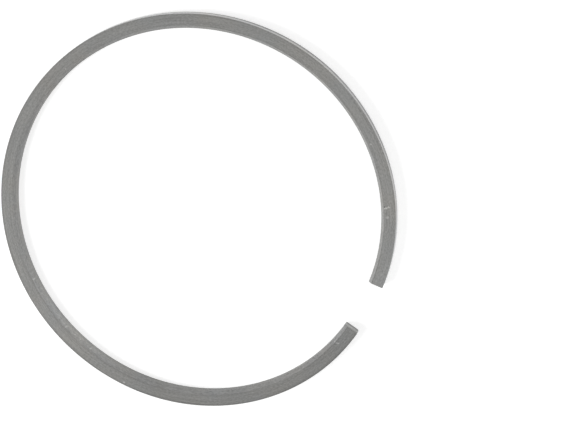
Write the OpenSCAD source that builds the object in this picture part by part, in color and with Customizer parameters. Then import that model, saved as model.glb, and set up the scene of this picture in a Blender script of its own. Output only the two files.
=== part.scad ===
// Split compression ring of a piston, drawn as it springs open when nothing holds it.
// It lies on its plain flank, with the bevelled flank up. Z is the ring's axis, the gap
// between the ends faces +X and the back of the ring faces -X. Sizes are in millimetres.

/* [Cylinder] */
// Bore of the cylinder that the ring seals
cylinder_bore = 90; // [60:0.5:120]

/* [Section] */
// Radial thickness, from the running face to the back face
radial_thickness = 3.5; // [2.4:0.05:4.5]
// Axial height, from flank to flank
axial_height = 2.5; // [1.5:0.05:4]
// Radial width of the bevel along the inner edge of the upper flank
bevel_width = 0.7; // [0.3:0.05:1]
// Angle between the bevel and the flank, in degrees
bevel_angle = 45; // [30:1:55]
// Lean of the running face, in degrees, which leaves its upper edge to scrape the wall
face_taper = 2; // [0.5:0.1:3]
// Width of the chamfer along the lower edge of the running face
face_chamfer = 0.4; // [0.1:0.05:0.6]
// Width of the flat that takes off the sharp lower edge of the back face
edge_break = 0.06; // [0.05:0.01:0.2]

/* [Gap] */
// Distance between the free ends, at the middle of the radial thickness
free_gap = 12.5; // [6:0.1:18]
// Width of the chamfer on the running-face edge of each end
end_chamfer = 0.1; // [0.05:0.05:0.5]

/* [Hidden] */
$fn = 180;

// Radii and angles are drawn to a hundredth, so that the arcs meet face to face
function hundredth(size) = round(size * 100) / 100;

// Mid-thickness radius of the ring when it is closed in its cylinder
closed_radius = (cylinder_bore - radial_thickness) / 2;

// A ring that presses evenly all round has a free curvature of
// (1 - spring * (1 + cos(angle from the back))) / closed_radius,
// and spring follows from the free gap
spring = free_gap / (3 * PI * closed_radius);

// That curve is drawn as tangent arcs with the mean curvature of their stretch:
// a half circle round the back, and a quarter on each side that runs to its end.
// The mean of the cosine over a quarter turn is 2 / PI
mean_cosine = 2 / PI;
back_radius = hundredth(closed_radius / (1 - spring * (1 + mean_cosine)));
front_radius = hundredth(closed_radius / (1 - spring * (1 - mean_cosine)));

// The front arcs meet the back arc on the Y axis, so their centres lie on it too
front_centre = back_radius - front_radius;

// Angle at which a front arc ends, seen from its own centre
end_angle = hundredth(asin((free_gap / 2 - front_centre) / front_radius));

// The box round the ring is centred on the origin
back_reach = back_radius + radial_thickness / 2;
front_reach = (front_radius + radial_thickness / 2) * cos(end_angle);
ring_shift = hundredth((back_reach - front_reach) / 2);

phosphate_grey = [0.55, 0.55, 0.53];

// Section of the ring at a mid-thickness radius, with the running face on the right
module section(middle_radius) {
    back_face = middle_radius - radial_thickness / 2;
    running_face = middle_radius + radial_thickness / 2;
    taper_slope = tan(face_taper);
    lower_edge = running_face - axial_height * taper_slope;
    bevel_depth = bevel_width * tan(bevel_angle);
    polygon([
        [back_face + edge_break, 0],
        [lower_edge - face_chamfer, 0],
        [lower_edge + face_chamfer * taper_slope, face_chamfer],
        [running_face, axial_height],
        [back_face + bevel_width, axial_height],
        [back_face, axial_height - bevel_depth],
        [back_face, edge_break]
    ]);
}

// One arc of the ring about Z
module ring_arc(middle_radius, from, sweep) {
    rotate_extrude(start = from, angle = sweep) section(middle_radius);
}

// Wedge that takes off the running-face edge of the end on the +Y side
module end_chamfer_cut() {
    corner_radius = front_radius + radial_thickness / 2;
    cut_side = 4 * end_chamfer;
    rotate([0, 0, end_angle])
        translate([corner_radius - end_chamfer / 2, end_chamfer / 2, axial_height / 2])
            rotate([0, 0, -45])
                translate([cut_side / 2, 0, 0])
                    cube([cut_side, cut_side, 2 * axial_height], center = true);
}

// Front arc on the +Y side, from its square end to the back arc
module front_arc() {
    translate([0, front_centre, 0])
        difference() {
            ring_arc(front_radius, end_angle, 90 - end_angle);
            end_chamfer_cut();
        }
}

module piston_ring() {
    color(phosphate_grey)
        translate([ring_shift, 0, 0]) {
            ring_arc(back_radius, 90, 180);
            front_arc();
            mirror([0, 1, 0]) front_arc();
        }
}

piston_ring();
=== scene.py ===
# %% [markdown]
# # A piston ring that has sprung open
#
# A compression ring is a bar of spring iron, bent round a piston and cut through once. Out of its
# cylinder it springs open, so it isn't round: the back is flatter than the two arms that end at the
# gap. This lesson sweeps the bar's section along that free form, gives each face its own finish,
# and photographs the ring from the angle of the reference picture.
#
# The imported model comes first. It is the measured frame that every piece here has to fit.

# %% Load the frame
import math

import bpy
from mathutils import Matrix, Vector


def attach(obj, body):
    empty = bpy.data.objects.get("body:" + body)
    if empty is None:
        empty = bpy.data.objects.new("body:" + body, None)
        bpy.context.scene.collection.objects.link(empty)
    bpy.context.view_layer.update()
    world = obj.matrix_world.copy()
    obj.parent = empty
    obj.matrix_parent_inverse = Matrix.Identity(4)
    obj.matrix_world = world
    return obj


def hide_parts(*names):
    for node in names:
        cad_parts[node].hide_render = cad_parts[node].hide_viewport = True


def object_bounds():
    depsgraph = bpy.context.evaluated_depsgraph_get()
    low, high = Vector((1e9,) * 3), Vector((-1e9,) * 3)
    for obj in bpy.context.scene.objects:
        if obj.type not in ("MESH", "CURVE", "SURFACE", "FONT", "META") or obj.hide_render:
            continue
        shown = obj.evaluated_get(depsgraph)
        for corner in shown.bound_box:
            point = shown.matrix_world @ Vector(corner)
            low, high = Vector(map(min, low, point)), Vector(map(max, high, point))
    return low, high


MM = 0.001
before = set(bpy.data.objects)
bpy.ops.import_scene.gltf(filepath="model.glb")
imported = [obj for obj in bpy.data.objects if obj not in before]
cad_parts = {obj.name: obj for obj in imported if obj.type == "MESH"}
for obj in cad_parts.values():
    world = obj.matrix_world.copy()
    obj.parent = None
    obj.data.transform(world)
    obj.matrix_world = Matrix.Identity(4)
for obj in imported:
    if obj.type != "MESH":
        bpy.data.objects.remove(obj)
cad_low, cad_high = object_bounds()
cad_size = (cad_high - cad_low) / MM
print("the measured ring's box in mm:", [round(side, 2) for side in cad_size])

# %% [markdown]
# ## Sizes
#
# The maker draws the section and the free gap, and the free form follows from them. A ring that
# presses evenly on its cylinder has a free curvature of (1 - k (1 + cos a)) / r, where a is the angle
# from the back and k grows with the gap. The measured model draws that curve as three tangent arcs,
# each with the mean curvature of its stretch, so the same three arcs are worked out here, with all
# sizes in millimetres. The last line shows that they reach as far as the frame does.

# %% Sizes of the section and the gap
cylinder_bore = 90.0
radial_thickness = 3.5
axial_height = 2.5
bevel_width, bevel_angle = 0.7, math.radians(45)
bevel_depth = bevel_width * math.tan(bevel_angle)
face_taper, face_chamfer = math.radians(2), 0.4
face_slope = math.tan(face_taper)
edge_break = 0.06
edge_radius = 0.03
free_gap = 12.5
end_chamfer = 0.1
print("section in mm:", radial_thickness, "by", axial_height, "free gap:", free_gap)

# %% Free form
closed_radius = (cylinder_bore - radial_thickness) / 2
spring = free_gap / (3 * math.pi * closed_radius)
mean_cosine = 2 / math.pi
back_radius = round(closed_radius / (1 - spring * (1 + mean_cosine)), 2)
front_radius = round(closed_radius / (1 - spring * (1 - mean_cosine)), 2)
front_centre = back_radius - front_radius
end_angle = math.asin((free_gap / 2 - front_centre) / front_radius)
half_length = back_radius * math.pi / 2 + front_radius * (math.pi / 2 - end_angle)
back_reach = back_radius + radial_thickness / 2
front_reach = (front_radius + radial_thickness / 2) * math.cos(end_angle)
ring_shift = round((back_reach - front_reach) / 2, 2)
print("back and front radius in mm:", back_radius, front_radius, "bar length:", round(2 * half_length, 2))
print("reach of the arcs, and of the frame:", round(back_reach + front_reach, 2), round(cad_size.x, 2))

# %% [markdown]
# ## Small helpers for node trees
#
# The sweep and the finishes are both node trees. A few helpers keep them readable: one adds a node, one
# feeds a socket with a link or a plain number, two write arithmetic with numbers and with vectors as
# nested calls, and two take a vector apart and put one together.

# %% Node helpers
def add_node(tree, kind, **settings):
    node = tree.nodes.new(kind)
    for name, value in settings.items():
        setattr(node, name, value)
    return node


def feed(tree, socket, value):
    if isinstance(value, bpy.types.NodeSocket):
        tree.links.new(value, socket)
    else:
        socket.default_value = value


def maths(tree, operation, *values):
    node = add_node(tree, "ShaderNodeMath", operation=operation)
    for socket, value in zip(node.inputs, values):
        feed(tree, socket, value)
    return node.outputs[0]


def vector_maths(tree, operation, *values):
    node = add_node(tree, "ShaderNodeVectorMath", operation=operation)
    for socket, value in zip(node.inputs, values):
        feed(tree, socket, value)
    gives_number = operation in ("DOT_PRODUCT", "LENGTH")
    return node.outputs["Value" if gives_number else "Vector"]


def parts(tree, value):
    node = add_node(tree, "ShaderNodeSeparateXYZ")
    feed(tree, node.inputs[0], value)
    return node.outputs


def vector(tree, x, y, z):
    node = add_node(tree, "ShaderNodeCombineXYZ")
    for socket, value in zip(node.inputs, (x, y, z)):
        feed(tree, socket, value)
    return node.outputs[0]


print("node helpers ready")

# %% [markdown]
# ## The section
#
# Cut the bar across and it is nearly a rectangle. The running face leans by two degrees, so that only
# its upper edge scrapes the wall, and its lower edge is chamfered. The inner upper edge is bevelled, and
# the inner lower edge is just broken. A mesh outline would do, but Curve to Mesh sweeps a curve, so a
# closed poly curve holds these corners. X is the way out from the ring's middle and Y is up.

# %% Section curve
def section_corners():
    inner, outer = -radial_thickness / 2, radial_thickness / 2
    lower = outer - axial_height * face_slope
    return [
        (inner, edge_break),
        (inner + edge_break, 0),
        (lower - face_chamfer, 0),
        (lower + face_chamfer * face_slope, face_chamfer),
        (outer, axial_height),
        (inner + bevel_width, axial_height),
        (inner, axial_height - bevel_depth),
    ]


def closed_curve(name, corners):
    data = bpy.data.curves.new(name, "CURVE")
    spline = data.splines.new("POLY")
    spline.points.add(len(corners) - 1)
    for point, (x, y) in zip(spline.points, corners):
        point.co = (x * MM, y * MM, 0, 1)
    spline.use_cyclic_u = True
    made = bpy.data.objects.new(name, data)
    bpy.context.scene.collection.objects.link(made)
    return made


section = closed_curve("ring_section", section_corners())
print("section corners:", len(section.data.splines[0].points))

# %% [markdown]
# ## The straight bar
#
# The real ring is cast round, turned and slit. A lathe of three arcs could stand in for it, but the
# bar follows one rule along its whole length, so Geometry Nodes write that rule down. A straight bar
# is swept first, and each of its points is given three facts as named attributes: how far it lies
# along the bar, where it lies in the section, and how far round the section it comes. The stations
# along the bar crowd towards the two ends, where the edges are eased.

# %% Stations
def named(tree, name, kind="FLOAT"):
    node = add_node(tree, "GeometryNodeInputNamedAttribute", data_type=kind)
    node.inputs["Name"].default_value = name
    return node.outputs["Attribute"]


def store(tree, geometry, name, kind, value):
    node = add_node(tree, "GeometryNodeStoreNamedAttribute", data_type=kind, domain="POINT")
    node.inputs["Name"].default_value = name
    feed(tree, node.inputs["Geometry"], geometry)
    feed(tree, node.inputs["Value"], value)
    return node.outputs["Geometry"]


def crowded_stations(tree, given):
    """How far along the bar each station lies, from minus to plus the half length."""
    evenness = 0.02
    share = add_node(tree, "GeometryNodeSplineParameter").outputs["Factor"]
    even = maths(tree, "MULTIPLY_ADD", share, 2.0, -1.0)
    to_end = maths(tree, "SUBTRACT", 1.0, maths(tree, "ABSOLUTE", even))
    crowd = maths(tree, "MULTIPLY", to_end, maths(tree, "ADD", to_end, evenness))
    from_middle = maths(tree, "SUBTRACT", 1.0, maths(tree, "DIVIDE", crowd, 1.0 + evenness))
    one_way = maths(tree, "MULTIPLY", from_middle, maths(tree, "SIGN", even))
    return maths(tree, "MULTIPLY", one_way, given["Half length"])


print("stations lie between", round(-half_length, 1), "and", round(half_length, 1), "mm")

# %% Straight bar
def eased_section(tree, given):
    """The section with its edges rounded. Each point keeps its place and its share of the way round."""
    points_on_edge = 3
    drawn = add_node(tree, "GeometryNodeObjectInfo", transform_space="ORIGINAL")
    feed(tree, drawn.inputs["Object"], given["Section"])
    eased = add_node(tree, "GeometryNodeFilletCurve", mode="POLY")
    feed(tree, eased.inputs["Curve"], drawn.outputs["Geometry"])
    feed(tree, eased.inputs["Count"], points_on_edge)
    feed(tree, eased.inputs["Radius"], given["Edge radius"])
    feed(tree, eased.inputs["Limit Radius"], True)
    where = add_node(tree, "GeometryNodeInputPosition").outputs["Position"]
    placed = store(tree, eased.outputs["Curve"], "section_place", "FLOAT_VECTOR", where)
    share = add_node(tree, "GeometryNodeSplineParameter").outputs["Factor"]
    return store(tree, placed, "share_round", "FLOAT", share)


def straight_bar(tree, given):
    line = add_node(tree, "GeometryNodeCurvePrimitiveLine")
    spaced = add_node(tree, "GeometryNodeResampleCurve", mode="COUNT")
    feed(tree, spaced.inputs["Curve"], line.outputs["Curve"])
    feed(tree, spaced.inputs["Count"], given["Stations"])
    path = store(tree, spaced.outputs["Curve"], "along", "FLOAT", crowded_stations(tree, given))
    swept = add_node(tree, "GeometryNodeCurveToMesh")
    feed(tree, swept.inputs["Curve"], path)
    feed(tree, swept.inputs["Profile Curve"], eased_section(tree, given))
    feed(tree, swept.inputs["Fill Caps"], True)
    return swept.outputs["Mesh"]


print("the straight bar is", round(2 * half_length / radial_thickness), "times as long as it is thick")

# %% [markdown]
# ## Bending the bar
#
# The next step moves each point of the straight bar to its place on the free form: round the back arc
# first, then round a front arc about its own centre. Near an end it also draws the points in a little,
# which chamfers the outer corner and eases the other edges, as a stone does on the real ring. A Bevel
# modifier could do that too, but it would forget how far along the bar a point lies. That place stays
# on the mesh as the attribute bar_place, and the finishes use it as a map of the unrolled bar.

# %% Easing the ends
def drawn_in(tree, given, out, up, to_end):
    """The section place of a point near an end, with the outer corner chamfered and the edges eased."""
    radius = given["Edge radius"]
    half_thickness = maths(tree, "MULTIPLY", given["Thickness"], 0.5)
    cut = maths(tree, "MAXIMUM", maths(tree, "SUBTRACT", given["End chamfer"], to_end), 0.0)
    depth = maths(tree, "MAXIMUM", maths(tree, "SUBTRACT", radius, to_end), 0.0)
    square = maths(tree, "MULTIPLY", radius, radius)
    left = maths(tree, "SUBTRACT", square, maths(tree, "MULTIPLY", depth, depth))
    ease = maths(tree, "SUBTRACT", radius, maths(tree, "SQRT", left))
    outermost = maths(tree, "SUBTRACT", maths(tree, "SUBTRACT", half_thickness, cut), ease)
    innermost = maths(tree, "SUBTRACT", ease, half_thickness)
    topmost = maths(tree, "SUBTRACT", given["Height"], ease)
    out = maths(tree, "MAXIMUM", maths(tree, "MINIMUM", out, outermost), innermost)
    up = maths(tree, "MAXIMUM", maths(tree, "MINIMUM", up, topmost), ease)
    return out, up


print("the ends are chamfered by", end_chamfer, "mm and eased by", edge_radius, "mm")

# %% Bending
def bent_place(tree, given):
    """Where a point of the straight bar lies on the free form, and its place on the unrolled bar."""
    out, up, _ = parts(tree, named(tree, "section_place", "FLOAT_VECTOR"))
    along = named(tree, "along")
    far = maths(tree, "ABSOLUTE", along)
    out, up = drawn_in(tree, given, out, up, maths(tree, "SUBTRACT", given["Half length"], far))

    quarter = maths(tree, "MULTIPLY", given["Back radius"], math.pi / 2)
    on_front = maths(tree, "GREATER_THAN", far, quarter)
    step = maths(tree, "SUBTRACT", given["Back radius"], given["Front radius"])
    centre = maths(tree, "MULTIPLY", on_front, step)
    reach = maths(tree, "ADD", maths(tree, "SUBTRACT", given["Back radius"], centre), out)
    back_turn = maths(tree, "DIVIDE", maths(tree, "MINIMUM", far, quarter), given["Back radius"])
    past = maths(tree, "MAXIMUM", maths(tree, "SUBTRACT", far, quarter), 0.0)
    turn = maths(tree, "ADD", back_turn, maths(tree, "DIVIDE", past, given["Front radius"]))
    x = maths(tree, "SUBTRACT", given["Shift"], maths(tree, "MULTIPLY", reach, maths(tree, "COSINE", turn)))
    y = maths(tree, "ADD", centre, maths(tree, "MULTIPLY", reach, maths(tree, "SINE", turn)))
    y = maths(tree, "MULTIPLY", y, maths(tree, "SIGN", along))
    return vector(tree, x, y, up), vector(tree, along, out, up)


print("bending: a back arc of", back_radius, "mm and two front arcs of", front_radius, "mm")

# %% [markdown]
# ## Which face is which
#
# The five kinds of face are told apart by the way they look: out from the ring's middle, in to it, up or
# down, slanting, or along the bar. Painting by face number would break as soon as the section gains a
# point, so the tree measures how far each face leans out and how far it looks up.

# %% Facing
def facing(tree, given):
    """How far a face leans out from the ring's middle, and how far it looks up."""
    x, y, _ = parts(tree, add_node(tree, "GeometryNodeInputPosition").outputs["Position"])
    step = maths(tree, "SUBTRACT", given["Back radius"], given["Front radius"])
    over = maths(tree, "SUBTRACT", x, given["Shift"])
    centre = maths(tree, "MULTIPLY", maths(tree, "GREATER_THAN", over, 0.0), step)
    aside = maths(tree, "SUBTRACT", y, maths(tree, "MULTIPLY", centre, maths(tree, "SIGN", y)))
    outward = vector_maths(tree, "NORMALIZE", vector(tree, over, aside, 0.0))
    normal = add_node(tree, "GeometryNodeInputNormal").outputs["Normal"]
    return vector_maths(tree, "DOT_PRODUCT", normal, outward), parts(tree, normal)[2]


def face_kinds(tree, given):
    """Each finish's input, with the faces that wear it. A later one covers an earlier one."""
    half, outward, slanting_in, straight_in = 0.5, 0.6, -0.4, -0.9
    lean, lift = facing(tree, given)
    upright = maths(tree, "LESS_THAN", maths(tree, "ABSOLUTE", lift), half)
    sideways = maths(tree, "LESS_THAN", maths(tree, "ABSOLUTE", lean), half)
    return (
        ("Flank finish", True),
        ("Running face finish", maths(tree, "GREATER_THAN", lean, outward)),
        ("Bevel finish", maths(tree, "LESS_THAN", lean, slanting_in)),
        ("Back face finish", maths(tree, "LESS_THAN", lean, straight_in)),
        ("End finish", maths(tree, "MULTIPLY", upright, sideways)),
    )


print("kinds of face: flank, running face, bevel, back face, end")

# %% [markdown]
# ## The whole sweep
#
# The tree joins these steps. Its sizes and finishes are named inputs, so the same tree would sweep a
# ring for another bore. Points that the eased corners bring together are merged, edges that turn by
# more than a few degrees stay crisp, and the tree ends by painting each kind of face.

# %% Inputs of the tree
SWEEP_INPUTS = {
    "Section": "NodeSocketObject",
    "Stations": "NodeSocketInt",
    "Back radius": "NodeSocketFloat",
    "Front radius": "NodeSocketFloat",
    "Half length": "NodeSocketFloat",
    "Shift": "NodeSocketFloat",
    "Thickness": "NodeSocketFloat",
    "Height": "NodeSocketFloat",
    "Edge radius": "NodeSocketFloat",
    "End chamfer": "NodeSocketFloat",
    "Flank finish": "NodeSocketMaterial",
    "Running face finish": "NodeSocketMaterial",
    "Bevel finish": "NodeSocketMaterial",
    "Back face finish": "NodeSocketMaterial",
    "End finish": "NodeSocketMaterial",
}
print("inputs of the sweep:", len(SWEEP_INPUTS))

# %% Bent and shaded bar
merge_distance = 0.0005
crisp_angle = math.radians(8)


def bent_bar(tree, given):
    place, bar_place = bent_place(tree, given)
    bar = store(tree, straight_bar(tree, given), "bar_place", "FLOAT_VECTOR", bar_place)
    bent = add_node(tree, "GeometryNodeSetPosition")
    feed(tree, bent.inputs["Geometry"], bar)
    feed(tree, bent.inputs["Position"], place)
    merged = add_node(tree, "GeometryNodeMergeByDistance")
    feed(tree, merged.inputs["Geometry"], bent.outputs["Geometry"])
    feed(tree, merged.inputs["Distance"], merge_distance * MM)
    return merged.outputs["Geometry"]


def shaded(tree, geometry):
    """Smooth faces, with the edges that turn by more than the crisp angle left sharp."""
    angle = add_node(tree, "GeometryNodeInputMeshEdgeAngle").outputs["Unsigned Angle"]
    smooth = add_node(tree, "GeometryNodeSetShadeSmooth", domain="FACE")
    feed(tree, smooth.inputs["Geometry"], geometry)
    feed(tree, smooth.inputs["Shade Smooth"], True)
    crisp = add_node(tree, "GeometryNodeSetShadeSmooth", domain="EDGE")
    feed(tree, crisp.inputs["Geometry"], smooth.outputs["Geometry"])
    feed(tree, crisp.inputs["Selection"], maths(tree, "GREATER_THAN", angle, crisp_angle))
    feed(tree, crisp.inputs["Shade Smooth"], False)
    return crisp.outputs["Geometry"]


print("points closer than", merge_distance, "mm are merged")

# %% Sweep tree
def sweep_tree():
    tree = bpy.data.node_groups.new("free_ring_sweep", "GeometryNodeTree")
    for name, kind in SWEEP_INPUTS.items():
        tree.interface.new_socket(name, in_out="INPUT", socket_type=kind)
    tree.interface.new_socket("Ring", in_out="OUTPUT", socket_type="NodeSocketGeometry")
    given = add_node(tree, "NodeGroupInput").outputs
    body = shaded(tree, bent_bar(tree, given))
    for name in ("along", "section_place"):
        removed = add_node(tree, "GeometryNodeRemoveAttribute")
        feed(tree, removed.inputs["Geometry"], body)
        removed.inputs["Name"].default_value = name
        body = removed.outputs["Geometry"]
    realized = add_node(tree, "GeometryNodeRealizeInstances")
    feed(tree, realized.inputs["Geometry"], body)
    painted = realized.outputs["Geometry"]
    for name, chosen in face_kinds(tree, given):
        paint = add_node(tree, "GeometryNodeSetMaterial")
        feed(tree, paint.inputs["Geometry"], painted)
        feed(tree, paint.inputs["Selection"], chosen)
        feed(tree, paint.inputs["Material"], given[name])
        painted = paint.outputs["Geometry"]
    feed(tree, add_node(tree, "NodeGroupOutput").inputs["Ring"], painted)
    return tree


sweep = sweep_tree()
print("sweep tree:", len(sweep.nodes), "nodes")

# %% [markdown]
# ## Finishes
#
# After grinding, the ring is phosphated: a bath grows a skin of fine crystals on the iron that holds
# oil while the engine runs in. The skin is a matt, slightly warm grey, cloudy from place to place, and
# the tool marks underneath still show in it faintly. A picture texture would need a photograph of the
# bar, so noise is used instead, and it is read on bar_place. The clouds then follow the bar, and a
# noise that is stretched along the bar becomes the marks of turning and grinding.

# %% Patterns on the bar
def bar_map(tree, along=1.0, out=1.0, up=1.0):
    """The unrolled bar in millimetres, with each way scaled."""
    place = add_node(tree, "ShaderNodeAttribute", attribute_name="bar_place").outputs["Vector"]
    return vector_maths(tree, "MULTIPLY", place, (along / MM, out / MM, up / MM))


def noise(tree, place, scale=1.0, detail=2.0, roughness=0.5, output="Fac"):
    node = add_node(tree, "ShaderNodeTexNoise")
    feed(tree, node.inputs["Vector"], place)
    node.inputs["Scale"].default_value = scale
    node.inputs["Detail"].default_value = detail
    node.inputs["Roughness"].default_value = roughness
    return node.outputs[output]


def ramp(tree, value, low, high, start=0.0, end=1.0):
    node = add_node(tree, "ShaderNodeMapRange", interpolation_type="SMOOTHSTEP")
    for socket, given in zip(node.inputs, (value, low, high, start, end)):
        feed(tree, socket, given)
    return node.outputs["Result"]


print("the map of the bar is", round(2 * half_length), "mm long and", radial_thickness, "mm wide")

# %% Colour, roughness and bumps
PHOSPHATE = Vector((0.2385, 0.2375, 0.229))
WARMER = Vector((0.014, 0.0, -0.018))


def layered(tree, *layers):
    """One plus each layer's swing about its middle, as a factor for a colour."""
    total = 1.0
    for layer, swing in layers:
        total = maths(tree, "MULTIPLY_ADD", maths(tree, "SUBTRACT", layer, 0.5), 2 * swing, total)
    return total


def product(tree, first, *factors):
    for factor in factors:
        first = maths(tree, "MULTIPLY", first, factor)
    return first


def tinted(tree, factor, tone, grey=PHOSPHATE):
    """A grey at a tone, times a factor. Its tint drifts a little between warm and cool."""
    drift = maths(tree, "SUBTRACT", noise(tree, bar_map(tree), scale=0.16, detail=1.0), 0.5)
    colour = vector_maths(tree, "MULTIPLY_ADD", drift, tone * WARMER, tone * grey)
    return vector_maths(tree, "MULTIPLY", colour, factor)


def rough_from(tree, pattern, least, most):
    """A roughness that follows a noise, whose values mostly lie between the two shares."""
    low_share, high_share = 0.2, 0.8
    return ramp(tree, pattern, low_share, high_share, start=least, end=most)


def raised(tree, height, depth):
    """A bump whose full height is that many millimetres."""
    node = add_node(tree, "ShaderNodeBump")
    node.inputs["Distance"].default_value = depth * MM
    feed(tree, node.inputs["Height"], height)
    return node.outputs["Normal"]


def new_finish(name):
    material = bpy.data.materials.new(name)
    material.use_nodes = True
    return material, material.node_tree, material.node_tree.nodes["Principled BSDF"]


print("phosphate grey:", [round(part, 4) for part in PHOSPHATE])

# %% [markdown]
# ## Tone along the bar
#
# The tone changes slowly along the bar, from the back to the arms, and the lower arm is darker, which is
# painted shade. A ramp with many stops could draw that, but a slow
#  wave and one step say the same with a few numbers.

# %% Tone and painted shade along the bar
# The lower arm's darker tone set here is painted shade.
painted_shade_from, painted_shade_full_at, painted_shade_tone = -56.0, -84.0, 0.8


def tone_with_painted_shade(tree, bar):
    """A factor that swings slowly from end to end, with painted shade that darkens the lower arm."""
    swing_length, lightest_at, swing = 175.0, -48.0, 0.065
    along = parts(tree, bar)[0]
    past = maths(tree, "MAXIMUM", maths(tree, "SUBTRACT", along, lightest_at), 0.0)
    turn = maths(tree, "MULTIPLY", past, 2 * math.pi / swing_length)
    wave = maths(tree, "MULTIPLY_ADD", maths(tree, "COSINE", turn), swing, 1.0 - swing / 2)
    # Painted shade: the lower arm darkens towards its darkest point.
    painted_shade_step = ramp(tree, along, painted_shade_full_at, painted_shade_from, start=painted_shade_tone, end=1.0)
    return maths(tree, "MULTIPLY", wave, painted_shade_step)


print("the darker arm begins", -painted_shade_from, "mm from the middle of the back")

# %% [markdown]
# ## Handling marks
#
# Where the ring was knocked, the coat is rubbed through and the iron shows light: a scratch across the
# flank of the upper arm, a scuff by the lower end, and small spots, most of them on the bevel. Dirt sits
# beside some of them as a dark speck. They are too shallow to model, so each is a small soft oval on the
# unrolled bar, with its border made ragged by a noise. Each row says where the mark's middle lies along
# the bar and out from the bar's middle line, how long and wide it is, how far it turns from the bar's own
# way in degrees, and how much lighter or darker it is.

# %% Where the marks are
MARKS = {
    "scratch, inner half": (116.85, -0.5, 0.85, 0.32, 95, 1.15),
    "scratch, outer half": (116.6, 0.13, 0.95, 0.42, 97, 0.8),
    "dirt at the scratch": (116.5, -0.75, 0.4, 0.4, 0, -0.7),
    "spot past the scratch": (119.0, -0.25, 0.65, 0.65, 0, 0.75),
    "spot by the upper end": (132.8, 0.5, 0.45, 0.45, 0, 0.45),
    "spot on the upper arm's bevel": (104.9, -1.0, 0.33, 0.33, 0, 0.7),
    "spot on the upper arm's flank": (101.4, -0.3, 0.42, 0.42, 0, 0.95),
    "spot on the back": (16.1, -0.6, 0.45, 0.45, 0, 0.5),
    "first spot on the lower arm's bevel": (-41.2, -1.3, 0.5, 0.5, 0, 0.5),
    "second spot on the lower arm's bevel": (-45.2, -1.4, 0.45, 0.45, 0, 0.35),
    "third spot on the lower arm's bevel": (-55.3, -1.3, 0.5, 0.5, 0, 0.3),
    "fourth spot on the lower arm's bevel": (-58.1, -1.5, 0.45, 0.45, 0, 0.35),
    "fifth spot on the lower arm's bevel": (-59.9, -1.5, 0.45, 0.45, 0, 0.35),
    "sixth spot on the lower arm's bevel": (-63.3, -1.5, 0.5, 0.5, 0, 0.55),
    "knock at the lower arm's outer edge": (-74.2, 1.1, 0.6, 0.4, 60, 0.8),
    "scuff by the lower end": (-131.1, -0.25, 0.9, 0.34, 130, 0.9),
    "dirt before the scuff": (-130.4, -0.6, 0.42, 0.42, 0, -0.45),
    "dirt past the scuff": (-131.5, -0.5, 0.42, 0.42, 0, -0.45),
    "spot inside the scuff": (-130.9, -1.1, 0.5, 0.5, 0, 0.9),
    "rubbed bevel by the lower end": (-133.6, -1.35, 5.0, 1.1, 0, 0.17),
}
print("marks:", len(MARKS))

# %% Drawing the marks
def mark(tree, bar, along, out, length, width, turn):
    """One inside a soft oval on the bar, and zero round it."""
    core, rim = 0.45, 1.25
    offset = vector_maths(tree, "SUBTRACT", bar, (along, out, 0))
    turned = add_node(tree, "ShaderNodeVectorRotate", rotation_type="Z_AXIS")
    feed(tree, turned.inputs["Vector"], offset)
    feed(tree, turned.inputs["Angle"], -math.radians(turn))
    sized = vector_maths(tree, "MULTIPLY", turned.outputs["Vector"], (2 / length, 2 / width, 0))
    return ramp(tree, vector_maths(tree, "LENGTH", sized), core, rim, start=1.0, end=0.0)


def ragged(tree, bar, scale, reach):
    """The unrolled bar with its places pushed to and fro, so that what is drawn there has uneven borders."""
    push = noise(tree, bar, scale=scale, output="Color")
    moved = vector_maths(tree, "MULTIPLY_ADD", push, (2 * reach, 2 * reach, 0), bar)
    return vector_maths(tree, "SUBTRACT", moved, (reach, reach, 0))


def marked(tree, bar):
    """A factor that draws the marks on the upper side of the bar."""
    on_top = maths(tree, "GREATER_THAN", parts(tree, bar)[2], axial_height / 2)
    uneven = ragged(tree, bar, scale=3.5, reach=0.35)
    total = 0.0
    for *place, strength in MARKS.values():
        total = maths(tree, "MULTIPLY_ADD", mark(tree, uneven, *place), strength, total)
    return maths(tree, "MULTIPLY_ADD", total, on_top, 1.0)


longest = max(MARKS, key=lambda name: MARKS[name][2])
print("longest mark:", longest, MARKS[longest][2], "mm")

# %% [markdown]
# ## Painted light on the inner edge
#
# Along a stretch of the lower arm, the bevel and the back face are lighter beside the edge where they meet,
#  which is painted light. More ovals would look like beads on a string. A band about one height on the bar,
#  which comes and goes along it, gives one soft stretch that both faces share.

# %% Painted light on the inner edge
def painted_light_on_inner_edge(tree, bar):
    """A factor that paints light on the edge between bevel and back face along a stretch of the lower arm.
    """
    strength, middle_height = 0.16, 1.6
    full_within, gone_beyond = 0.25, 0.8
    begins, full_from, full_until, ends = -80.0, -60.0, -48.0, -34.0
    along, _, up = parts(tree, bar)
    away = maths(tree, "ABSOLUTE", maths(tree, "SUBTRACT", up, middle_height))
    # Painted light: a lighter band where the bevel meets the back face.
    band = ramp(tree, away, full_within, gone_beyond, start=strength, end=0.0)
    comes = ramp(tree, along, begins, full_from)
    goes = ramp(tree, along, full_until, ends, start=1.0, end=0.0)
    return maths(tree, "ADD", product(tree, band, comes, goes), 1.0)


print("the bevel and the back face meet", round(axial_height - bevel_depth, 2), "mm up")
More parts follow.
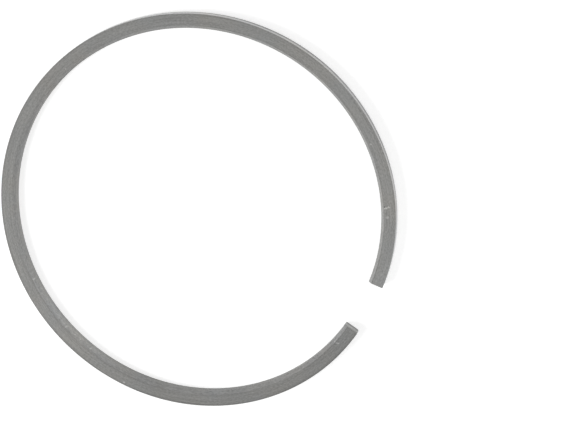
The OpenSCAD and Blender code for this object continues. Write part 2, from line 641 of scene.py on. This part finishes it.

# %% [markdown]
# ## The ground flanks
#
# The two flat sides seal against the piston's groove, so they are ground flat and then coated. Seen close,
#  the coat is mottled, with short streaks along the bar from the grinding. It is a little darker beside the
#  edges, most of all on the lower arm, where this deepens the painted shade there, and least on the upper
#  arm. Four noises of different size make that up, and the marks are laid over them.

# %% Dark lines beside the edges
def beside_edges(tree, bar):
    """A factor that darkens the flank along the bevel and along the running face."""
    bevel_edge, outer_edge = bevel_width - radial_thickness / 2, radial_thickness / 2
    inner_full, inner_gone = bevel_edge + 0.15, bevel_edge + 0.45
    outer_begins, outer_full = outer_edge - 0.6, outer_edge - 0.25
    inner_depth, outer_depth, painted_shade_edge_depth = 0.08, 0.1, 0.23
    change_length = 10.0
    fades_from, faint_from, faint_share = 55.0, 88.0, 0.25
    along, out, up = parts(tree, bar)
    on_top = maths(tree, "GREATER_THAN", up, axial_height / 2)
    near_bevel = ramp(tree, out, inner_full, inner_gone, start=inner_depth, end=0.0)
    inner_line = maths(tree, "SUBTRACT", 1.0, maths(tree, "MULTIPLY", on_top, near_bevel))
    near_outer = ramp(tree, out, outer_begins, outer_full)
    plain_from = painted_shade_from + change_length
    # On the lower arm the line beside the running face is deeper, which adds to the painted shade there.
    depth = ramp(tree, along, painted_shade_from, plain_from, start=painted_shade_edge_depth, end=outer_depth)
    fading = ramp(tree, along, fades_from, faint_from, start=1.0, end=faint_share)
    outer_line = maths(tree, "SUBTRACT", 1.0, product(tree, depth, fading, near_outer))
    return maths(tree, "MULTIPLY", inner_line, outer_line)


print("the upper flank is", round(radial_thickness - bevel_width, 2), "mm wide")

# %% Flank finish
def flank_finish():
    material, tree, shader = new_finish("phosphated_flank")
    bar = bar_map(tree)
    clouds = noise(tree, bar, scale=0.10, detail=3.0)
    mottle = noise(tree, bar_map(tree, along=1.8, out=3.6, up=3.6))
    grinding = noise(tree, bar_map(tree, along=0.12, out=3.8, up=3.8))
    crystals = noise(tree, bar, scale=11.0, detail=3.0, roughness=0.6)
    coat = layered(tree, (clouds, 0.05), (mottle, 0.5), (grinding, 0.3), (crystals, 0.18))
    # The tone along the bar carries the painted shade on the lower arm.
    factor = product(tree, coat, tone_with_painted_shade(tree, bar), beside_edges(tree, bar), marked(tree, bar))
    feed(tree, shader.inputs["Base Color"], tinted(tree, factor, tone=1.0))
    feed(tree, shader.inputs["Roughness"], rough_from(tree, crystals, least=0.5, most=0.7))
    feed(tree, shader.inputs["Normal"], raised(tree, crystals, depth=0.012))
    return material


flank = flank_finish()
print("flank:", len(flank.node_tree.nodes), "nodes")

# %% [markdown]
# ## The bevel
#
# The bevel along the inner edge makes the ring dish slightly when it is squeezed shut, which presses its
# lower edge on the wall. It is turned last, with a sharp tool, so it is brighter and less warm than the
# flank and has fine lines along it. The lines are a noise with a long reach along the bar and a short
# one across.

# %% Bevel finish
TURNED_GREY = Vector((0.2385, 0.2375, 0.232))


def bevel_finish():
    material, tree, shader = new_finish("turned_bevel")
    bar = bar_map(tree)
    clouds = noise(tree, bar, scale=0.35, detail=3.0)
    turning = noise(tree, bar_map(tree, along=0.12, out=7.0, up=7.0), detail=3.0, roughness=0.6)
    mottle = noise(tree, bar_map(tree, along=1.5, out=4.0, up=4.0))
    crystals = noise(tree, bar, scale=6.0, detail=3.0, roughness=0.6)
    coat = layered(tree, (clouds, 0.14), (turning, 0.4), (mottle, 0.55), (crystals, 0.35))
    # The factor carries painted shade on the lower arm and a band of painted light on the inner edge.
    factor = product(tree, coat, tone_with_painted_shade(tree, bar), painted_light_on_inner_edge(tree, bar), marked(tree, bar))
    feed(tree, shader.inputs["Base Color"], tinted(tree, factor, tone=1.31, grey=TURNED_GREY))
    feed(tree, shader.inputs["Roughness"], rough_from(tree, turning, least=0.42, most=0.6))
    feed(tree, shader.inputs["Normal"], raised(tree, turning, depth=0.012))
    return material


bevel = bevel_finish()
print("bevel:", len(bevel.node_tree.nodes), "nodes")

# %% [markdown]
# ## The back face
#
# The back face looks at the bottom of the piston's groove and touches nothing. It is bored more coarsely
# than the flanks are ground, so its turning lines are wider and deeper. The bump's depth sets them apart,
# where a mesh with real grooves would need many more points.

# %% Back face finish
def back_face_finish():
    material, tree, shader = new_finish("bored_back_face")
    bar = bar_map(tree)
    clouds = noise(tree, bar, scale=0.2, detail=3.0)
    boring = noise(tree, bar_map(tree, along=0.07, out=1.0, up=5.0), detail=3.0, roughness=0.6)
    mottle = noise(tree, bar_map(tree, along=1.5, out=4.0, up=4.0))
    crystals = noise(tree, bar, scale=6.0, detail=3.0, roughness=0.6)
    coat = layered(tree, (clouds, 0.12), (boring, 0.55), (mottle, 0.5), (crystals, 0.35))
    # The factor carries painted shade on the lower arm and a band of painted light on the inner edge.
    factor = product(tree, coat, tone_with_painted_shade(tree, bar), painted_light_on_inner_edge(tree, bar))
    feed(tree, shader.inputs["Base Color"], tinted(tree, factor, tone=1.35))
    feed(tree, shader.inputs["Roughness"], rough_from(tree, boring, least=0.45, most=0.62))
    feed(tree, shader.inputs["Normal"], raised(tree, boring, depth=0.02))
    return material


back_face = back_face_finish()
print("back face:", len(back_face.node_tree.nodes), "nodes")

# %% [markdown]
# ## The running face
#
# The running face slides on the cylinder wall. The maker laps it a little in a sleeve, which bares a bright
#  land along its upper edge. The coat stays on the part below, which the taper keeps off the sleeve, so
#  one finish goes from half metal at the top to plain coat at the bottom. A wave along the bar widens the
#  land in places, which is painted light, and a slow noise makes the land's lower border waver.

# %% Bared land
# The land itself is lapped metal; the gain and spacing below set a wave of painted light.
land_width, painted_light_gain, land_border = 1.05, 1.0, 0.1
painted_light_spacing = 85.0


def wavering(tree, value, bar, scale, reach):
    """A value that a slow noise pushes up and down along the bar."""
    push = maths(tree, "SUBTRACT", noise(tree, bar, scale=scale), 0.5)
    return maths(tree, "MULTIPLY_ADD", push, reach, value)


def bared_land(tree, bar):
    """One on the bared land, which a wave of painted light widens in places, and zero on the coat below."""
    land_edge = axial_height - land_width
    along, _, up = parts(tree, bar)
    # Painted light: this wave widens the bright land in places.
    wave = maths(tree, "COSINE", maths(tree, "MULTIPLY", along, 2 * math.pi / painted_light_spacing))
    painted_widening = maths(tree, "MAXIMUM", maths(tree, "MULTIPLY", wave, -painted_light_gain), 0.0)
    up = wavering(tree, maths(tree, "ADD", up, painted_widening), bar, scale=0.45, reach=0.5)
    return ramp(tree, up, land_edge - land_border, land_edge + land_border)


print("the land is", land_width, "to", land_width + painted_light_gain, "mm wide")

# %% Running face finish
LAPPED_GREY = Vector((0.2385, 0.2375, 0.235))
coat_tone, land_tone, land_metal = 1.0, 1.65, 0.5


def running_finish():
    material, tree, shader = new_finish("lapped_running_face")
    bar = bar_map(tree)
    land = bared_land(tree, bar)
    lapping = noise(tree, bar_map(tree, along=0.04, out=0.0, up=12.0), roughness=0.6)
    crystals = noise(tree, bar, scale=5.5, detail=3.0, roughness=0.6)
    coat = layered(tree, (lapping, 0.2), (crystals, 0.25))
    factor = product(tree, coat, ramp(tree, land, 0.0, 1.0, start=coat_tone, end=land_tone))
    feed(tree, shader.inputs["Base Color"], tinted(tree, factor, tone=1.25, grey=LAPPED_GREY))
    feed(tree, shader.inputs["Metallic"], maths(tree, "MULTIPLY", land, land_metal))
    feed(tree, shader.inputs["Roughness"], ramp(tree, land, 0.0, 1.0, start=0.5, end=0.4))
    feed(tree, shader.inputs["Normal"], raised(tree, lapping, depth=0.008))
    return material


running_face = running_finish()
print("running face:", len(running_face.node_tree.nodes), "nodes")

# %% [markdown]
# ## The cut ends
#
# The ring is slit with a thin wheel, and the two ends are ground until the gap is right. The wheel leaves
#  fine lines across the end, along its radial way, and the coat covers them thinly. A noise that is
#  stretched along the radial way draws the lines, and a wavering ramp paints a highlight band half way up
#  the end.

# %% End finish
def end_finish():
    material, tree, shader = new_finish("ground_end")
    # These set a painted highlight band half way up the end.
    highlight_within, highlight_gone_beyond, highlight_tone, beside_highlight_tone = 0.25, 0.85, 1.2, 0.68
    bar = bar_map(tree)
    grinding = noise(tree, bar_map(tree, along=1.0, out=0.6, up=11.0), detail=3.0)
    crystals = noise(tree, bar, scale=8.0, detail=3.0, roughness=0.6)
    coat = layered(tree, (grinding, 0.26), (crystals, 0.26))
    up = wavering(tree, parts(tree, bar)[2], bar, scale=0.9, reach=0.8)
    away = maths(tree, "ABSOLUTE", maths(tree, "SUBTRACT", up, axial_height / 2))
    # Painted highlight: a lighter band half way up the end.
    painted_highlight = ramp(tree, away, highlight_within, highlight_gone_beyond, start=highlight_tone, end=beside_highlight_tone)
    factor = product(tree, coat, painted_highlight)
    feed(tree, shader.inputs["Base Color"], tinted(tree, factor, tone=1.44))
    feed(tree, shader.inputs["Roughness"], rough_from(tree, crystals, least=0.45, most=0.6))
    feed(tree, shader.inputs["Normal"], raised(tree, grinding, depth=0.008))
    return material


end_face = end_finish()
print("ends:", len(end_face.node_tree.nodes), "nodes")

# %% [markdown]
# ## The ring
#
# The tree needs an object to sit on. Its inputs are set by their identifiers, the result is read once
# as a plain mesh, and the modifier goes. A live modifier would look the same, but the bake layout needs
# the finished points. What is left is one closed body that wears five finishes.

# %% Values of the ring
station_count = 1001
ring_values = {
    "Section": section,
    "Stations": station_count,
    "Back radius": back_radius * MM,
    "Front radius": front_radius * MM,
    "Half length": half_length * MM,
    "Shift": ring_shift * MM,
    "Thickness": radial_thickness * MM,
    "Height": axial_height * MM,
    "Edge radius": edge_radius * MM,
    "End chamfer": end_chamfer * MM,
    "Flank finish": flank,
    "Running face finish": running_face,
    "Bevel finish": bevel,
    "Back face finish": back_face,
    "End finish": end_face,
}
print("values for the sweep:", len(ring_values), "of", len(SWEEP_INPUTS))

# %% Build the ring
ring = bpy.data.objects.new("ring_body", bpy.data.meshes.new("ring_body"))
bpy.context.scene.collection.objects.link(ring)
modifier = ring.modifiers.new("sweep", "NODES")
modifier.node_group = sweep
for item in sweep.interface.items_tree:
    if item.in_out == "INPUT":
        modifier[item.identifier] = ring_values[item.name]
depsgraph = bpy.context.evaluated_depsgraph_get()
ring_mesh = bpy.data.meshes.new_from_object(
    ring.evaluated_get(depsgraph), preserve_all_data_layers=True, depsgraph=depsgraph
)
ring.modifiers.clear()
ring.data = ring_mesh
bpy.data.objects.remove(section)
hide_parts("piston_ring")
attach(ring, "root")
point_count, face_count = len(ring_mesh.vertices), len(ring_mesh.polygons)
print("ring:", point_count, "points,", face_count, "faces,", len(ring_mesh.materials), "finishes")

# %% [markdown]
# ## A layout for baking
#
# A model that leaves Blender carries its finishes as baked pictures, and a bake needs the surface laid flat.
# Smart UV Project would draw the ring as a thin hoop in a square that is almost empty. The bar is known
# unrolled, so it is cut into rows that fill the square instead, with the two end faces beside them.

# %% Bake layout
def bake_layout(mesh, rows, margin):
    """Gives the mesh a UV map of the unrolled bar, cut into rows, with places in millimetres made 0 to 1."""
    early, late, corners_of_a_side = 0.25, 0.75, 4
    place = [item.vector / MM for item in mesh.attributes["bar_place"].data]
    share = [item.value for item in mesh.attributes["share_round"].data]
    corners = section_corners()
    girth = sum(math.dist(here, after) for here, after in zip(corners, corners[1:] + corners[:1]))
    row_length = 2 * half_length / rows
    side = max(row_length + axial_height + 3 * margin, rows * (girth + margin)) + margin
    layout = mesh.uv_layers.new(name="OFBake", do_init=False)
    for face in mesh.polygons:
        points = list(face.vertices)
        middle = sum(place[point].x for point in points) / len(points) + half_length
        row = min(int(middle / row_length), rows - 1)
        row_start = margin + row * (girth + margin)
        is_end = len(points) > corners_of_a_side
        seam = max(share[point] for point in points) > late
        for corner, point in zip(face.loop_indices, points):
            if is_end:
                u = row_length + 2 * margin + place[point].z
                v = place[point].y + radial_thickness / 2
            else:
                u = place[point].x + half_length - row * row_length
                v = girth * (share[point] + (1 if seam and share[point] < early else 0))
            layout.uv[corner].vector = ((u + margin) / side, (v + row_start) / side)
    mesh.attributes.remove(mesh.attributes["share_round"])
    return girth, side


section_girth, layout_side = bake_layout(ring_mesh, rows=5, margin=0.6)
print("section girth in mm:", round(section_girth, 2), "side of the laid-out square:", round(layout_side, 1))

# %% [markdown]
# ## The floor
#
# The ring lies on a white table. The floor is a plain matt white, and what the camera sees of it is lifted
# to full white by Light Path. Brighter lamps would whiten it too, but they would bleach the ring. This way
# the light on the ring stays at a plain level, and the ring's own faint shadow still falls on the floor.

# %% Floor finish
floor_white, floor_lift = 0.8, 0.5


def white_seen(tree):
    """One for what the camera sees, directly or in a mirror, and zero for light that only bounces."""
    path = add_node(tree, "ShaderNodeLightPath").outputs
    seen = maths(tree, "MAXIMUM", path["Is Camera Ray"], path["Is Glossy Ray"])
    return maths(tree, "MAXIMUM", seen, path["Is Transmission Ray"])


def floor_finish():
    material, tree, shader = new_finish("white_table")
    shader.inputs["Base Color"].default_value = (floor_white, floor_white, floor_white, 1)
    shader.inputs["Roughness"].default_value = 0.9
    shader.inputs["Specular IOR Level"].default_value = 0.0
    shader.inputs["Emission Color"].default_value = (1, 1, 1, 1)
    feed(tree, shader.inputs["Emission Strength"], maths(tree, "MULTIPLY", white_seen(tree), floor_lift))
    return material


white_table = floor_finish()
print("floor white:", floor_white, "lifted by", floor_lift)

# %% Floor
floor_side, floor_drop = 3.0, 0.00002
corner_signs = ((-1, -1), (1, -1), (1, 1), (-1, 1))
floor_corners = [(x * floor_side / 2, y * floor_side / 2, -floor_drop) for x, y in corner_signs]
floor_mesh = bpy.data.meshes.new("table")
floor_mesh.from_pydata(floor_corners, [], [(0, 1, 2, 3)])
floor_mesh.materials.append(white_table)
floor = bpy.data.objects.new("table", floor_mesh)
bpy.context.scene.collection.objects.link(floor)
print("floor side in m:", floor_side)

# %% [markdown]
# ## The light
#
# A product picture like this is lit through a tent, so light comes from everywhere, a little more from two
# sides. A plain white world does about a third of it, and two large round lamps shape the slanting faces:
# one from the side of the back, and a weaker one from the side of the upper arm, opposite to it.

# %% World
world_level = 0.34


def studio_world():
    world = bpy.data.worlds.new("studio")
    world.use_nodes = True
    tree = world.node_tree
    sky = tree.nodes["Background"]
    sky.inputs["Color"].default_value = (1, 1, 1, 1)
    strength = ramp(tree, white_seen(tree), 0.0, 1.0, start=world_level, end=1.0)
    feed(tree, sky.inputs["Strength"], strength)
    return world


bpy.context.scene.world = studio_world()
print("world level:", world_level)

# %% Lamps
lamp_elevation = math.radians(37)
lamp_distance, lamp_size = 0.8, 0.5


def soft_lamp(name, azimuth, power):
    data = bpy.data.lights.new(name, "AREA")
    data.shape = "DISK"
    data.size = lamp_size
    data.energy = power
    lamp = bpy.data.objects.new(name, data)
    level = math.cos(lamp_elevation)
    aim = Vector((math.cos(azimuth) * level, math.sin(azimuth) * level, math.sin(lamp_elevation)))
    lamp.location = aim * lamp_distance
    lamp.rotation_euler = aim.to_track_quat("Z", "Y").to_euler()
    bpy.context.scene.collection.objects.link(lamp)
    return lamp


lamps = (
    soft_lamp("back_side", azimuth=math.radians(227), power=4.3),
    soft_lamp("arm_side", azimuth=math.radians(60), power=2.2),
)
print("lamps:", [(lamp.name, round(lamp.data.energy, 2)) for lamp in lamps])

# %% [markdown]
# ## Camera
#
# The reference was taken with a long lens, from high above and from the side of one arm. Its angles and
# its scale were fitted to the ring's outline: the tilt of the ring's axis from the line of sight, the
# turn of the picture about that line, and where the ring's middle falls in the frame. Moving a camera by
# hand would come near, but the three directions of the camera follow exactly from these few numbers.

# %% The fitted view
image_width, image_height = 569, 427
camera_distance = 600 * MM
pixels_per_mm = 4.3411
middle_in_image = (196.26, 209.35)
axis_tilt = math.radians(21.94)
lean_in_image = math.radians(53.21)
gap_in_image = math.radians(-28.62)
azimuth = lean_in_image - gap_in_image
view_angles = (math.degrees(azimuth), 90 - math.degrees(axis_tilt))
print("camera azimuth and elevation:", [round(angle, 1) for angle in view_angles])

# %% Camera
lean = Vector((math.cos(azimuth), math.sin(azimuth), 0))
side = Vector((-math.sin(azimuth), math.cos(azimuth), 0))
axis = Vector((0, 0, 1))
flat = lean * math.cos(axis_tilt) - axis * math.sin(axis_tilt)
right = flat * math.cos(lean_in_image) - side * math.sin(lean_in_image)
up = flat * math.sin(lean_in_image) + side * math.cos(lean_in_image)
sight = lean * math.sin(axis_tilt) + axis * math.cos(axis_tilt)
offset_right = (middle_in_image[0] - image_width / 2) / pixels_per_mm * MM
offset_up = (image_height / 2 - middle_in_image[1]) / pixels_per_mm * MM
camera_place = sight * camera_distance - right * offset_right - up * offset_up

sensor_width = 36
camera = bpy.data.objects.new("camera", bpy.data.cameras.new("camera"))
camera.data.sensor_width = sensor_width
camera.data.lens = pixels_per_mm * camera_distance / MM * sensor_width / image_width
camera_turn = Matrix((right, up, sight)).transposed().to_4x4()
camera.matrix_world = Matrix.Translation(camera_place) @ camera_turn
bpy.context.scene.collection.objects.link(camera)
bpy.context.scene.camera = camera
bpy.context.scene.view_settings.view_transform = "Standard"
print("lens in mm:", round(camera.data.lens, 1))
